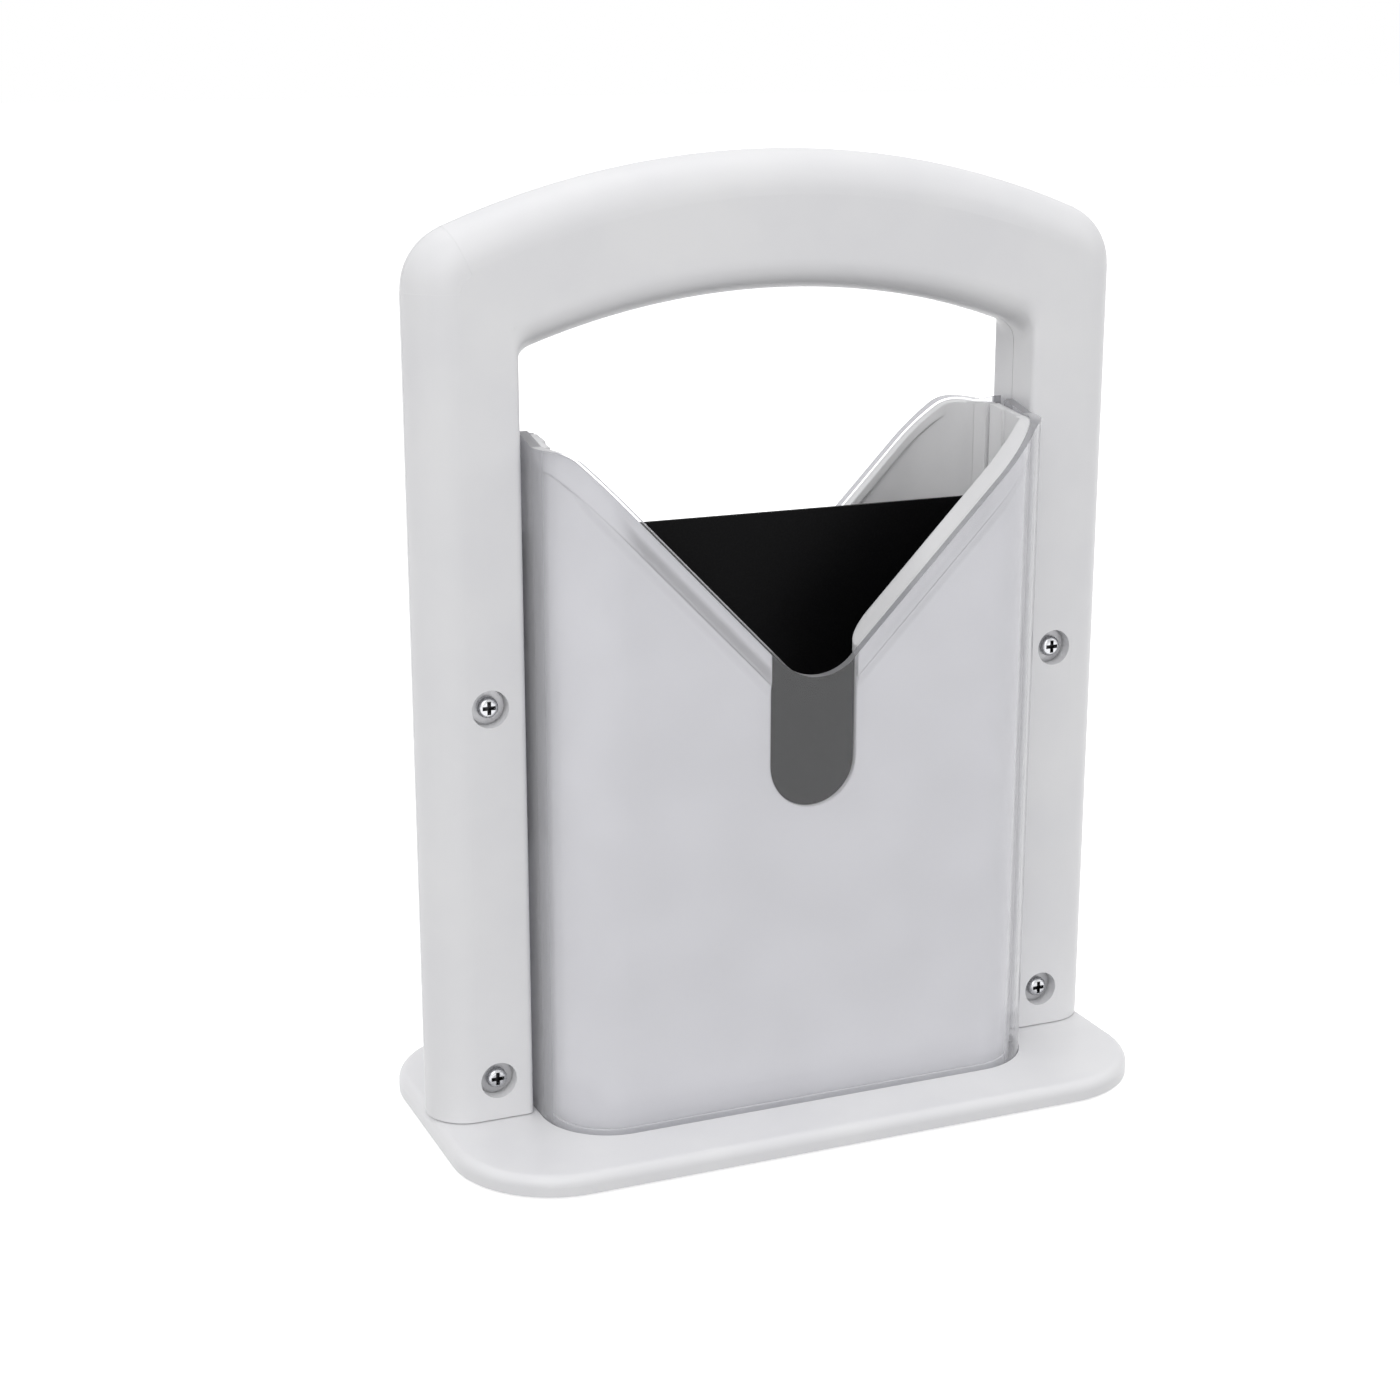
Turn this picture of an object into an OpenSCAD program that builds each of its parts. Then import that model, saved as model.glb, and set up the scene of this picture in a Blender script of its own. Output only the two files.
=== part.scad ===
// Bagel guillotine slicer.
// A bagel stands on edge in a narrow upright cradle. An arched handle carries a blade
// between its two legs and slides straight down over the cradle. It is drawn fully down.
// The origin is on the table, under the middle of the base. Left to right is X, front to
// back is Y, and the blade lies in the middle plane Y = 0.

/* [Base plate] */
// How far the base plate reaches past the legs at each end
base_overhang = 0; // [0:0.5:10]
// Depth of the base plate, front to back
base_depth = 98; // [90:1:130]
// Thickness of the base plate
base_t = 5; // [5:0.5:9]
// Radius of the corners seen from above
base_corner_r = 27; // [18:1:34]
// Radius of the rounded upper edge
base_edge_r = 2.5; // [1:0.5:3.5]
// Depth of the groove that the cutting edge ends in
groove_depth = 2.5; // [2:0.5:3]

/* [Feet] */
// Diameter of a rubber foot
foot_d = 14; // [8:1:16]
// How far a foot stands out under the base
foot_stand = 1; // [0.5:0.5:3]
// Depth of the recess that holds a foot
foot_recess = 1.2; // [0.8:0.2:1.8]
// From the end of the base to the middle of a foot
foot_inset_x = 20; // [16:1:30]
// From the front of the base to the middle of a foot
foot_inset_y = 14; // [12:1:18]

/* [Shields] */
// Width of the cradle over the clear shields
cradle_w = 136; // [128:1:137]
// Depth of the cradle over the clear shields
cradle_depth = 62; // [54:1:76]
// Radius of the upright corners of the cradle
cradle_corner_r = 18; // [14:1:22]
// Wall of a clear shield
shield_t = 2.5; // [1.5:0.5:3.5]
// Gap between the front and the rear shield at each end
shield_gap = 6; // [5:0.5:9]
// Depth of the groove in the base that the shields stand in
shield_seat = 2; // [1:0.5:2.5]

/* [V notch] */
// Height of the bottom of the notch above the base
notch_h = 113.5; // [100:0.5:125]
// Steepness of its straight flanks in degrees
notch_angle = 46; // [42:0.5:49]
// Radius of its rounded bottom
notch_r = 13; // [8:0.5:15]
// From the end of the cradle to where a flank starts to level out
shoulder_inset = 8; // [6:0.5:11]
// Radius that each flank levels out with
shoulder_bend_r = 8; // [8:0.5:12]
// How much higher the ends of the cradle stand at the blade
end_rise = 3; // [0:0.5:6]
// How much of that rise the white liners leave out
liner_fall = 1.5; // [0:0.5:3]

/* [Liners] */
// Wall of a white liner
liner_t = 2; // [1.5:0.25:3]
// Depth of the rolled rim along the front notch
front_rim_depth = 6.5; // [4:0.5:9]
// Depth of the bead along the rear notch
rear_rim_depth = 1; // [0.5:0.25:9]
// Thickness of the rolled rim
rim_t = 2; // [1.5:0.25:3]
// Width of the raised border along the notch
border_w = 5.5; // [3:0.5:7]
// How far the border stands out from the wall
border_step = 0.6; // [0.4:0.1:1]
// Width of the finger slot
finger_w = 23.6; // [20:0.1:26]
// Height of the bottom of the finger slot above the base
finger_h = 79; // [60:1:90]
// Radius of the slot's mouth
finger_mouth_r = 2; // [1:0.5:8]
// Reach of the guide rail beside the blade into the cradle
rail_reach = 0.8; // [0.4:0.2:3]
// Width of the guide rail
rail_w = 6.5; // [3:0.5:9]
// Number of tapered centring ribs in each half of a liner
rib_count = 2; // [1:1:3]
// Height of a centring rib
rib_h = 95; // [60:1:105]
// Reach of a centring rib at the base
rib_reach = 8; // [4:0.5:10]
// Thickness of a centring rib
rib_t = 1.6; // [1.2:0.1:2.4]

/* [Handle] */
// Gap between the cradle and each leg
leg_gap = 1.5; // [1:0.1:2.5]
// Height of the top of the grip above the base
handle_h = 239.7; // [232:0.1:260]
// Depth of the handle, front to back
handle_depth = 21.2; // [19:0.2:24]
// Width of a leg
leg_w = 25.5; // [24:0.1:29]
// Radius of the arched top
arch_r = 230; // [200:1:300]
// Height of the grip's section
grip_h = 33.5; // [28:0.1:38]
// Radius of the outer top corners
corner_r = 16; // [14:0.5:20]
// Radius of the soft lower edges of the grip
grip_edge_r = 7.5; // [4:0.5:8]
// Radius of the inner top corners
inner_corner_r = 6.5; // [2:0.5:8]
// Radius of the edges beside the cradle
leg_edge_r = 1.5; // [0.5:0.25:2]
// Wall of the handle shells
shell_t = 2.4; // [1.8:0.1:2.8]
// Height of the tongues that guide the legs along the cradle
tongue_h = 70; // [40:1:80]
// Diameter of the locating pins in the grip
pin_d = 3; // [2.5:0.1:4]

/* [Blade] */
// Thickness of the blade
blade_t = 1; // [0.8:0.1:1.4]
// Height of the straight top edge above the base
blade_top_h = 149.3; // [135:0.1:160]
// How far the blade reaches into each leg
blade_reach = 16.5; // [14:0.5:17]
// Slope of the two halves of the cutting edge in degrees
edge_angle = 9; // [6:0.5:11]
// How far the point of the cutting edge goes below the top of the base
edge_dip = 1.2; // [0.5:0.1:1.5]
// Spacing of the teeth
tooth_pitch = 5; // [4:0.1:8]
// Depth of the scallops between the teeth
tooth_depth = 1.6; // [1:0.1:2]
// Height of the ground bevel
bevel_h = 6; // [4:0.5:10]

/* [Screws] */
// From the inner side of a leg to the middle of its screws
screw_inset = 9.3; // [9:0.1:10.5]
// Height of the lower handle screws above the base
screw_low_h = 10.8; // [10:0.1:20]
// Height of the upper handle screws above the base
screw_up_h = 108.4; // [80:0.1:130]
// Diameter of the screws
screw_d = 3; // [2.5:0.1:3.5]
// Diameter of a screw head
head_d = 5.4; // [5:0.1:6.2]
// Height of a screw head
head_h = 2.2; // [1.6:0.1:2.4]
// Diameter of the counterbores in the front shell
counterbore_d = 9.5; // [9:0.1:10.5]
// Depth of the counterbores in the front shell
counterbore_depth = 4; // [3.5:0.1:4.5]
// Diameter of a washer
washer_d = 8.6; // [7:0.1:8.8]
// Thickness of a washer
washer_t = 0.8; // [0.5:0.1:1]
// Length of a handle screw under its head
handle_screw_len = 14; // [12:0.5:15]
// Length of a base screw under its head
wall_screw_len = 12; // [8:0.5:16]

/* [Clearances] */
// Between the legs and the base, and in each seam that shows
seat_gap = 0.3; // [0.2:0.05:0.5]
// Between liner and shield, and round the shields in their groove
wall_gap = 0.25; // [0.15:0.05:0.4]
// On each side of the blade in its guides
blade_gap = 0.5; // [0.4:0.05:0.8]
// Half of the seam between the handle shells
seam_gap = 0.1; // [0.05:0.05:0.2]
// Round a pin or a screw in its hole
hole_gap = 0.05; // [0.03:0.01:0.1]

/* [Hidden] */
$fn = 96;

white = "#e8e8ea";
clear = [0.86, 0.9, 0.95, 0.35];
black = "#1c1c1e";
steel = "#b9bbbd";
rubber = "#3a3a3c";

far = 400;

// Widths and heights
handle_w = cradle_w + 2 * (leg_gap + leg_w);
base_len = handle_w + 2 * base_overhang;
base_top = foot_stand + base_t;
leg_bottom = base_top + seat_gap;

// Plan of the cradle: outside of the shields, then outside of the liners
liner_inset = shield_t + wall_gap;
liner_w = cradle_w - 2 * liner_inset;
liner_depth = cradle_depth - 2 * liner_inset;
liner_r = cradle_corner_r - liner_inset;
corner_x = cradle_w / 2 - cradle_corner_r;
corner_y = cradle_depth / 2 - cradle_corner_r;
rail_gap = blade_t + 2 * blade_gap;
liner_drop = 0.4;

// V notch: tangent points of its rounded bottom and of its shoulders
notch_z = base_top + notch_h;
flank_x = notch_r * sin(notch_angle);
flank_z = notch_z + notch_r * (1 - cos(notch_angle));
shoulder_x = cradle_w / 2 - shoulder_inset;
shoulder_z = flank_z + (shoulder_x - flank_x) * tan(notch_angle);
bend_x = shoulder_x + shoulder_bend_r * sin(notch_angle);
bend_z = shoulder_z - shoulder_bend_r * cos(notch_angle);
notch_end = cradle_w / 2 + 1;
end_z = top_z(0, cradle_w / 2);
arc_step = 3;

// Handle
half_w = handle_w / 2;
half_depth = handle_depth / 2;
leg_x = half_w - leg_w;
arch_z = base_top + handle_h - arch_r;
corner_cx = half_w - corner_r;
hair = 0.08;
corner_angle = asin(corner_cx / (arch_r - corner_r));
corner_cz = arch_z + (arch_r - corner_r) * cos(corner_angle);
screw_x = leg_x + screw_inset;
screw_heights = [base_top + screw_low_h, base_top + screw_up_h];
counterbore_y = -half_depth + counterbore_depth;
head_y = counterbore_y - washer_t;
cup_wall = 1.5;
boss_d = screw_d + 5;
screw_hole_d = screw_d + 2 * hole_gap;
screw_pass_d = screw_d + 0.4;
pin_radius = arch_r - grip_h / 2;
pin_angles = [-13, 0, 13];
pin_len = 5;
tongue_half = shield_gap / 2 - 0.6;
tongue_slot = blade_t / 2 + hole_gap;
tongue_x = liner_w / 2 + 0.4;

// Blade
blade_top = base_top + blade_top_h;
blade_x = leg_x + blade_reach;
tab_bottom = leg_bottom + shell_t + 2;
edge_z = base_top - edge_dip;
edge_x = liner_w / 2 - 1;
edge_len = edge_x / cos(edge_angle);
tooth_count = floor((edge_len - 1) / tooth_pitch);
tooth_chord = tooth_pitch - 0.4;
tooth_r = (pow(tooth_chord / 2, 2) + pow(tooth_depth, 2)) / (2 * tooth_depth);
keen_t = 0.16;

// Screws through the base into the liners
wall_boss_d = 9;
wall_boss_h = wall_screw_len + 2;
wall_boss_off = (liner_r - liner_t - wall_boss_d / 2 + 0.6) / sqrt(2);
wall_screw_x = corner_x + wall_boss_off;
wall_screw_y = corner_y + wall_boss_off;
wall_head_room = head_h + 0.4;

// Points on an arc from angle a to angle b
function arc(cx, cz, r, a, b) =
    let (n = max(1, ceil(abs(b - a) / arc_step)))
    [for (i = [0:n]) [cx + r * cos(a + (b - a) * i / n), cz + r * sin(a + (b - a) * i / n)]];

function mirrored(points) = [for (i = [len(points) - 1:-1:0]) [-points[i][0], points[i][1]]];

// Height of the shoulder at x, moved into the wall by off
function top_z(off, x) =
    bend_z + sqrt(pow(shoulder_bend_r - off, 2) - pow(max(bend_x - x, 0), 2));

// Right half of the V notch from the middle to its end, moved into the wall by off
function notch_half(off) =
    let (
        r_top = shoulder_bend_r - off,
        level = [max(bend_x, notch_end) + 1, bend_z + r_top]
    )
    concat(
        arc(0, notch_z + notch_r, notch_r + off, -90, -90 + notch_angle),
        arc(bend_x, bend_z, r_top, 90 + notch_angle, 90),
        [level]
    );

function notch_curve(off) =
    let (half = notch_half(off))
    concat(mirrored(half), [for (i = [1:len(half) - 1]) half[i]]);

// Solid that stands over an outline in the X-Z plane, from y0 to y1
module across(y0, y1) {
    translate([0, y1, 0])
        rotate([90, 0, 0])
            linear_extrude(height = y1 - y0)
                children();
}

module above_notch(off) {
    curve = notch_curve(off);
    end_x = curve[0][0];
    polygon(concat(curve, [[-end_x, far], [end_x, far]]));
}

// Band of the wall between two curves that follow the notch
module notch_band(off0, off1) {
    low = notch_curve(off1);
    high = notch_curve(off0);
    polygon(concat(low, [for (i = [len(high) - 1:-1:0]) high[i]]));
}

// U-shaped wall with round corners, open towards the blade
module u_wall(w, depth, r, t, z0, z1, gap) {
    h = z1 - z0;
    translate([-(w / 2 - r), -depth / 2, z0])
        cube([w - 2 * r, t, h]);
    for (side = [-1, 1]) {
        translate([side > 0 ? w / 2 - t : -w / 2, -depth / 2 + r, z0])
            cube([t, depth / 2 - r - gap / 2, h]);
        translate([side * (w / 2 - r), -depth / 2 + r, z0])
            rotate([0, 0, side > 0 ? -90 : 180])
                rotate_extrude(angle = 90)
                    translate([r - t, 0])
                        square([t, h]);
    }
}

// What the notch and the low roof of the end walls take away from a wall
module notch_cut(off, rise) {
    across(-cradle_depth, -corner_y)
        above_notch(off);
    roof = [[-corner_y, end_z - off], [0, end_z + rise - off]];
    rotate([90, 0, 90])
        translate([0, 0, -cradle_w])
            linear_extrude(height = 2 * cradle_w)
                polygon(concat([[-cradle_depth, end_z - off]], roof, [[0, far], [-cradle_depth, far]]));
}

// Finger slot with a full round bottom and a rounded mouth
module finger_slot() {
    half = finger_w / 2;
    mouth_x = half + finger_mouth_r;
    mouth_z = flank_z + (mouth_x - flank_x) * tan(notch_angle) - finger_mouth_r / cos(notch_angle);
    bottom_z = base_top + finger_h + half;
    side = concat(
        arc(0, bottom_z, half, -90, 0),
        arc(mouth_x, mouth_z, finger_mouth_r, 180, 90 + notch_angle)
    );
    polygon(concat(mirrored(side), [for (i = [1:len(side) - 1]) side[i]]));
}

// Half section of the handle from y0 to half: full round outside, radius rl inside
module half_section(r0, r1, y0, half, rl) {
    translate([r0 + rl, y0])
        square([r1 - half - r0 - rl, half - y0]);
    translate([r0, y0])
        square([rl, half - rl - y0]);
    round_inside(r0, half, rl, rl);
    round_outside(r1, y0, half);
}

// Rounded inner edge of the section, as far as reach
module round_inside(r0, half, rl, reach) {
    intersection() {
        translate([r0 + rl, half - rl])
            circle(r = rl);
        translate([r0 - 1, half - rl])
            square([reach + 1, rl + 1]);
    }
}

module round_outside(r1, y0, half) {
    intersection() {
        translate([r1 - half, 0])
            circle(r = half);
        translate([r1 - half, y0])
            square([half + 1, half + 1 - y0]);
    }
}

// Sweep of a section about an axis along Y, from angle a to angle b, measured from +X
module sweep(cx, cz, a, b) {
    translate([cx, 0, cz])
        rotate([90, 0, 0])
            rotate([0, 0, a])
                rotate_extrude(angle = b - a)
                    mirror([0, 1])
                        children();
}

// Rear half of the handle from y0 backwards, or with inset t the room inside its wall
module half_handle(t, y0) {
    r1 = arch_r - t;
    r0 = arch_r - grip_h + t;
    half = half_depth - t;
    x0 = leg_x + t;
    x1 = half_w - t;
    sweep(0, arch_z, 90 - corner_angle, 90 + corner_angle)
        half_section(r0, r1, y0, half, max(grip_edge_r - t, 1));
    for (side = [-1, 1])
        mirror([side > 0 ? 0 : 1, 0, 0]) {
            translate([0, 0, leg_bottom + t])
                linear_extrude(height = corner_cz - leg_bottom - t)
                    half_section(x0, x1, y0, half, max(leg_edge_r - t, 0.5));
        }
}

// Outer top corners, a hair smaller than the parts that they join and let into them
module outer_corners(y0) {
    core = corner_r - half_depth;
    tip = half_depth - hair;
    for (side = [-1, 1])
        mirror([side > 0 ? 0 : 1, 0, 0]) {
            y_cylinder(corner_cx, corner_cz, 1.7 * core, y0, half_depth);
            sweep(corner_cx, corner_cz, -1, 91 - corner_angle) {
                translate([core / 2, y0])
                    square([core / 2, tip - y0]);
                round_outside(corner_r - hair, y0, tip);
            }
        }
}

// Fillet in the upper corners of the hand opening, on the rear half
module inner_corners(y0) {
    r = inner_corner_r;
    r0 = arch_r - grip_h;
    cx = leg_x - r;
    cz = arch_z + sqrt(pow(r0 - r, 2) - cx * cx);
    top_a = 90 - asin(cx / (r0 - r));
    reach = min(r, grip_edge_r) / 2;
    for (side = [-1, 1])
        mirror([side > 0 ? 0 : 1, 0, 0])
            sweep(cx, cz, -2, top_a + 2) {
                translate([r + hair, y0])
                    square([reach, half_depth - hair - grip_edge_r - y0]);
                round_inside(r + hair, half_depth - hair, grip_edge_r, reach);
            }
}

// Cylinder along Y
module y_cylinder(x, z, d, y0, y1) {
    translate([x, y1, z])
        rotate([90, 0, 0])
            cylinder(d = d, h = y1 - y0);
}

module each_handle_screw() {
    for (side = [-1, 1], z = screw_heights)
        translate([side * screw_x, 0, z])
            children();
}

module each_pin() {
    for (a = pin_angles)
        translate([pin_radius * sin(a), 0, arch_z + pin_radius * cos(a)])
            children();
}

// Room for the blade where it leaves a leg
module blade_room() {
    reach = leg_x - tongue_x + shell_t + 2;
    for (side = [-1, 1])
        translate([side > 0 ? tongue_x - 1 : -tongue_x + 1 - reach, -blade_t / 2 - hole_gap, tab_bottom - 0.2])
            cube([reach, blade_t + 2 * hole_gap, blade_top - tab_bottom + 0.4]);
}

// Tongues on the inner side of the legs, which run between the two shields
module tongues() {
    for (side = [-1, 1])
        translate([side > 0 ? tongue_x : -leg_x - 0.5, tongue_slot, leg_bottom])
            cube([leg_x - tongue_x + 0.5, tongue_half - tongue_slot, tongue_h]);
}

// Wall of the rear half of the handle
module half_skin() {
    difference() {
        union() {
            half_handle(0, seam_gap);
            outer_corners(seam_gap);
            inner_corners(seam_gap);
        }
        half_handle(shell_t, seam_gap / 2);
    }
    tongues();
}

module handle_front_shell() {
    color(white)
        difference() {
            union() {
                mirror([0, 1, 0])
                    half_skin();
                each_handle_screw() {
                    y_cylinder(0, 0, counterbore_d + 2 * cup_wall, -half_depth + shell_t / 2, counterbore_y + cup_wall);
                    y_cylinder(0, 0, boss_d, counterbore_y, -blade_t / 2);
                }
                screw_webs(-half_depth + shell_t / 2, -blade_t / 2);
                each_pin() {
                    y_cylinder(0, 0, pin_d + 3, -half_depth + shell_t / 2, -seam_gap);
                    y_cylinder(0, 0, pin_d, -half_depth + shell_t, pin_len);
                }
            }
            blade_room();
            each_handle_screw() {
                y_cylinder(0, 0, counterbore_d, -half_depth - 1, counterbore_y);
                y_cylinder(0, 0, screw_pass_d, -half_depth, 1);
            }
        }
}

// Webs that tie the screw bosses to the inner wall of a leg
module screw_webs(y0, y1) {
    for (side = [-1, 1], z = screw_heights)
        translate([side > 0 ? leg_x + shell_t / 2 : -screw_x, y0, z - rib_t / 2])
            cube([screw_inset - shell_t / 2, y1 - y0, rib_t]);
}

module handle_rear_shell() {
    rear_y = half_depth - shell_t;
    color(white)
        difference() {
            union() {
                half_skin();
                each_handle_screw()
                    y_cylinder(0, 0, boss_d, blade_t / 2, half_depth - shell_t / 2);
                screw_webs(blade_t / 2, half_depth - shell_t / 2);
                each_pin()
                    y_cylinder(0, 0, pin_d + 4, seam_gap, half_depth - shell_t / 2);
            }
            blade_room();
            each_handle_screw()
                y_cylinder(0, 0, screw_hole_d, -1, rear_y);
            each_pin()
                y_cylinder(0, 0, pin_d + 2 * hole_gap, -1, pin_len + seat_gap);
        }
}

module blade() {
    color(black)
        difference() {
            across(-blade_t / 2, blade_t / 2)
                difference() {
                    blade_outline();
                    scallops();
                }
            each_handle_screw()
                y_cylinder(0, 0, screw_pass_d, -blade_t, blade_t);
            bevels();
        }
}

module blade_outline() {
    rise = edge_x * tan(edge_angle);
    half = [
        [0, edge_z],
        [edge_x, edge_z + rise],
        [edge_x + 1, tab_bottom],
        [blade_x, tab_bottom],
        [blade_x, blade_top]
    ];
    polygon(concat(mirrored(half), [for (i = [1:len(half) - 1]) half[i]]));
}

// Round scallops along both halves of the cutting edge
module scallops() {
    for (side = [-1, 1], i = [0:tooth_count - 1]) {
        along = (i + 0.5) * tooth_pitch;
        down = tooth_r - tooth_depth;
        translate([
            side * (along * cos(edge_angle) + down * sin(edge_angle)),
            edge_z + along * sin(edge_angle) - down * cos(edge_angle)
        ])
            circle(r = tooth_r);
    }
}

// Bevels ground on both faces down to the cutting edge
module bevels() {
    slope = (blade_t - keen_t) / 2 / bevel_h;
    for (side = [0, 1], face = [0, 1])
        mirror([side, 0, 0])
            mirror([0, face, 0])
                translate([0, 0, edge_z])
                    rotate([0, -edge_angle, 0])
                        translate([-0.5, 0, 0])
                            rotate([90, 0, 90])
                                linear_extrude(height = edge_len)
                                    polygon([
                                        [blade_t / 2, bevel_h],
                                        [blade_t / 2 + 1, bevel_h],
                                        [blade_t / 2 + 1, -1],
                                        [keen_t / 2 - slope, -1]
                                    ]);
}

// Pan-head screw that stands on the origin, with its head below and a cross recess
module pan_screw(len) {
    recess = 1.3;
    arm_w = 1;
    arm_len = head_d * 0.62;
    difference() {
        union() {
            rotate_extrude()
                pan_head_section();
            cylinder(d = screw_d, h = len - screw_d / 3);
            translate([0, 0, len - screw_d / 3])
                cylinder(d1 = screw_d, d2 = screw_d / 2, h = screw_d / 3);
        }
        for (turn = [0, 90])
            rotate([0, 0, turn])
                translate([-arm_len / 2, -arm_w / 2, -head_h - 1])
                    cube([arm_len, arm_w, recess + 1]);
    }
}

module pan_head_section() {
    dome_r = head_h * 0.6;
    translate([0, -head_h])
        square([head_d / 2 - dome_r, head_h]);
    translate([0, -head_h + dome_r])
        square([head_d / 2, head_h - dome_r]);
    intersection() {
        translate([head_d / 2 - dome_r, -head_h + dome_r])
            circle(r = dome_r);
        translate([head_d / 2 - dome_r, -head_h - 1])
            square([dome_r + 1, dome_r + 1]);
    }
}

module handle_screws() {
    color(steel)
        each_handle_screw()
            translate([0, head_y, 0])
                rotate([-90, 0, 0])
                    pan_screw(handle_screw_len);
}

module handle_washers() {
    color(steel)
        each_handle_screw()
            difference() {
                y_cylinder(0, 0, washer_d, head_y, counterbore_y);
                y_cylinder(0, 0, screw_pass_d, head_y - 1, counterbore_y + 1);
            }
}

// Shield in front of the bagel
module shield() {
    top = end_z + end_rise + 5;
    difference() {
        u_wall(cradle_w, cradle_depth, cradle_corner_r, shield_t, base_top - shield_seat, top, shield_gap);
        notch_cut(0, end_rise);
    }
}

module front_shield() {
    color(clear)
        shield();
}

module rear_shield() {
    color(clear)
        mirror([0, 1, 0])
            shield();
}

// Plan of the rolled rim: it runs into the end walls and rounds off at the finger slot
module rim_plan(depth) {
    skin = liner_r - liner_t / 2;
    flat = liner_r - liner_t;
    end_reach = flat + liner_t / 4;
    slot_x = finger_w / 2;
    outer = arc(corner_x, -corner_y, skin, -90, 0);
    inner = [for (p = arc(0, 0, 1, 0, -90)) [corner_x + end_reach * p[0], -corner_y + (flat - depth) * p[1]]];
    slot_end = arc(slot_x + depth, -corner_y - flat, depth, 90, 180);
    for (turn = [0, 1])
        mirror([turn, 0, 0])
            polygon(concat(outer, inner, slot_end, [[slot_x, -corner_y - skin]]));
}

module rolled_rim(depth) {
    intersection() {
        linear_extrude(height = far)
            rim_plan(depth);
        across(-cradle_depth, -corner_y)
            notch_band(liner_drop, liner_drop + rim_t);
    }
}

// Raised border that follows the notch on the outside of a liner
module border() {
    low = top_z(liner_drop + border_w, liner_w / 2);
    intersection() {
        u_wall(liner_w, liner_depth, liner_r, liner_t, base_top, end_z + end_rise, rail_gap);
        union() {
            across(-cradle_depth, -corner_y)
                notch_band(liner_drop, liner_drop + border_w);
            translate([-cradle_w / 2, -corner_y, low])
                cube([cradle_w, corner_y, far]);
        }
    }
}

// Guide rails on both sides of the blade slot
module rails() {
    inner_x = liner_w / 2 - liner_t;
    for (side = [-1, 1])
        translate([side > 0 ? inner_x - rail_reach : -inner_x - liner_t / 3, -rail_gap / 2 - rail_w, base_top])
            cube([rail_reach + liner_t / 3, rail_w, end_z + end_rise - base_top]);
}

// Tapered ribs that keep the bagel in the middle of the cradle
module centring_ribs() {
    wall_y = -liner_depth / 2 + liner_t / 2;
    tip_y = -liner_depth / 2 + liner_t + rib_reach;
    first = finger_w / 2 + 6;
    pitch = (corner_x - first) / max(1, rib_count - 0.5);
    for (side = [-1, 1], i = [0:rib_count - 1])
        translate([side * (first + i * pitch) - rib_t / 2, 0, 0])
            rotate([90, 0, 90])
                linear_extrude(height = rib_t)
                    polygon([[wall_y, base_top], [tip_y, base_top], [wall_y, base_top + rib_h]]);
}

module wall_bosses() {
    for (side = [-1, 1])
        translate([side * wall_screw_x, -wall_screw_y, base_top])
            cylinder(d = wall_boss_d, h = wall_boss_h);
}

// Liner without its rim, which is given as a child
module liner() {
    step = border_step;
    top = end_z + end_rise;
    difference() {
        union() {
            u_wall(liner_w - 2 * step, liner_depth - 2 * step, liner_r - step, liner_t - step, base_top, top, rail_gap);
            border();
            rails();
            children();
            centring_ribs();
            wall_bosses();
        }
        notch_cut(liner_drop, end_rise - liner_fall);
        across(-cradle_depth, -corner_y)
            finger_slot();
        for (side = [-1, 1])
            translate([side * wall_screw_x, -wall_screw_y, base_top - 1])
                cylinder(d = screw_hole_d, h = wall_boss_h);
    }
}

module front_liner() {
    color(white)
        liner()
            rolled_rim(front_rim_depth);
}

module rear_liner() {
    color(white)
        mirror([0, 1, 0])
            liner()
                rolled_rim(rear_rim_depth);
}

module wall_screws() {
    for (side = [-1, 1])
        translate([side * wall_screw_x, -wall_screw_y, foot_stand + wall_head_room])
            pan_screw(wall_screw_len);
}

module front_wall_screws() {
    color(steel)
        wall_screws();
}

module rear_wall_screws() {
    color(steel)
        mirror([0, 1, 0])
            wall_screws();
}

// Edge section of the base: plain below, rounded above, from the middle to reach
module base_section(reach) {
    r = base_edge_r;
    square([reach - r, base_t]);
    translate([reach - r, 0])
        square([r, base_t - r]);
    intersection() {
        translate([reach - r, base_t - r])
            circle(r = r);
        translate([reach - r, base_t - r])
            square([r + 1, r + 1]);
    }
}

module base_blank() {
    flat_x = base_len / 2 - base_corner_r;
    flat_y = base_depth / 2 - base_corner_r;
    translate([-flat_x, 0, 0])
        rotate([90, 0, 90])
            linear_extrude(height = 2 * flat_x) {
                base_section(base_depth / 2);
                mirror([1, 0])
                    base_section(base_depth / 2);
            }
    for (side = [-1, 1])
        mirror([side > 0 ? 0 : 1, 0, 0])
            translate([flat_x, flat_y, 0]) {
                rotate([90, 0, 0])
                    linear_extrude(height = 2 * flat_y)
                        base_section(base_corner_r);
                rotate_extrude(angle = 90)
                    base_section(base_corner_r);
                translate([0, -2 * flat_y, 0])
                    rotate([0, 0, -90])
                        rotate_extrude(angle = 90)
                            base_section(base_corner_r);
            }
}

// Grooves in the base that the shields stand in
module shield_grooves() {
    g = wall_gap;
    for (turn = [0, 1])
        mirror([0, turn, 0])
            u_wall(
                cradle_w + 2 * g, cradle_depth + 2 * g, cradle_corner_r + g, shield_t + 2 * g,
                base_top - shield_seat - g, base_top + 1, shield_gap - 2 * g
            );
}

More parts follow.
